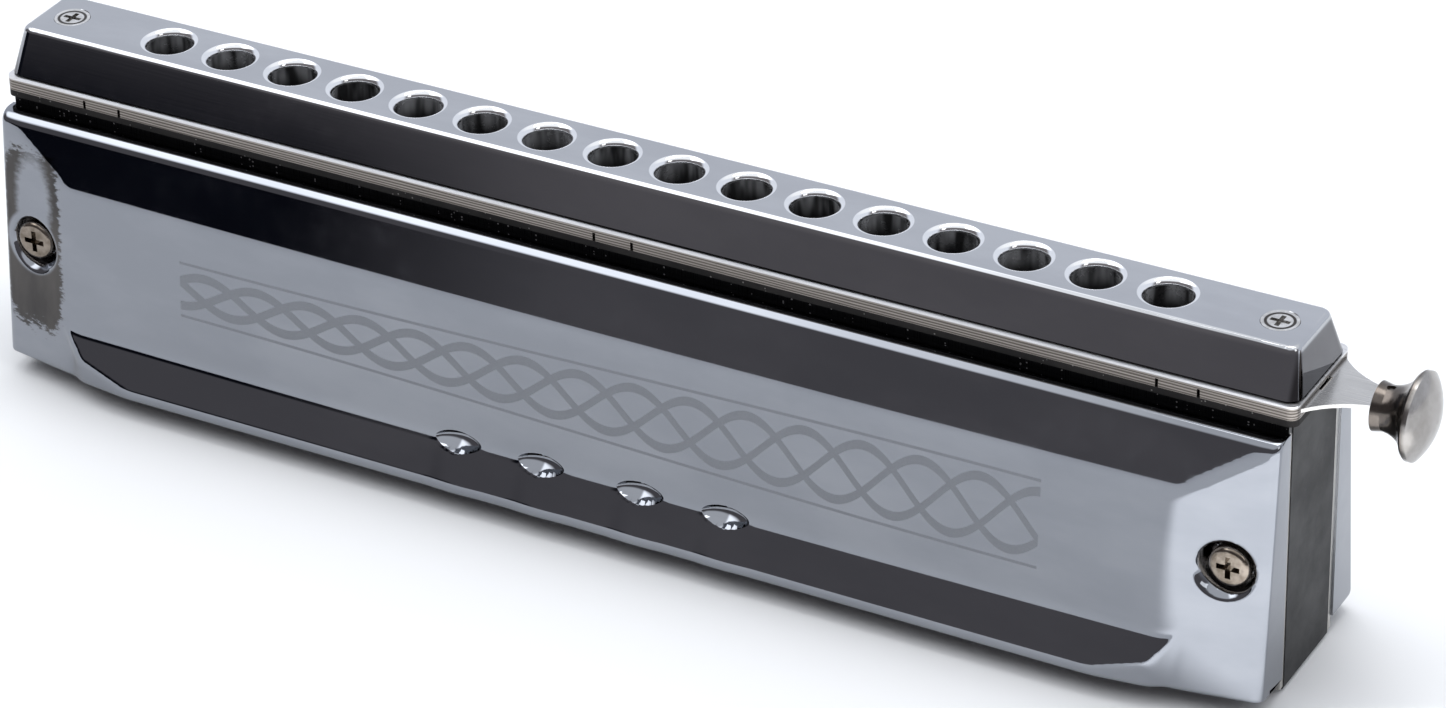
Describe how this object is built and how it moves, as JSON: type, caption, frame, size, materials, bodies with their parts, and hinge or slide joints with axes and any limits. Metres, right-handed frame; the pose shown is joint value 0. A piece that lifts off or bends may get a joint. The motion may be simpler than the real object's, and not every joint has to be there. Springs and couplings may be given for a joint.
{
  "type": "chromatic harmonica",
  "caption": "Long chromatic harmonica with a row of round mouth holes, faceted metal covers with flared open backs, and a spring-loaded slide worked by a round end button.",
  "frame": {"origin": "centre of the comb's flat back face, on the plane it stands on", "axes": "+X along the instrument to the slide button, +Y to the rear cover, +Z out of the mouthpiece"},
  "size_m": [0.1982, 0.0358, 0.0472],
  "materials": {
    "chrome_mouthpiece": "polished chromed brass",
    "screws": "nickel-plated steel",
    "gasket": "dark fibre-reinforced rubber sheet",
    "slide_metal": "stamped edges",
    "blade": "fine brushed",
    "button": "satin nickel",
    "spring": "drawn wire",
    "bumpers": "soft tube",
    "comb": "satin moulded",
    "reed_plate": "plated brass, milled",
    "cover": "polished stainless sheet",
    "reeds": "ground reed tongues",
    "rivets": "headed rivets",
    "valves": "thin flexible film"
  },
  "bodies": {
    "instrument": {"comb": "comb", "comb_gasket": "gasket", "cover_nuts": "screws", "cover_screws": "screws", "front_blow_reeds": "reeds", "front_cover": "cover", "front_draw_reeds": "reeds", "front_inner_valves": "valves", "front_outer_valves": "valves", "front_plate_screws": "screws", "front_reed_plate": "reed_plate", "front_reed_rivets": "rivets", "mouthpiece": "chrome_mouthpiece", "mouthpiece_gasket": "gasket", "mouthpiece_screws": "screws", "rear_blow_reeds": "reeds", "rear_cover": "cover", "rear_draw_reeds": "reeds", "rear_inner_valves": "valves", "rear_outer_valves": "valves", "rear_plate_screws": "screws", "rear_reed_plate": "reed_plate", "rear_reed_rivets": "rivets", "slide_back_plate": "slide_metal", "slide_bumpers": "bumpers", "slide_front_plate": "slide_metal", "slide_rails": "slide_metal", "slide_spring": "spring", "spring_post": "spring"},
    "slide": {"slide": "blade", "slide_button": "button", "button_pin": "button"}
  },
  "joints": [
    {"name": "slide_press", "type": "slide", "parent": "instrument", "child": "slide", "axis": [-1, 0, 0], "range_m": [0, 0.00475], "stiffness_N_per_m": 300, "springref_m": -0.004, "deforming": ["slide_spring"]}
  ]
}
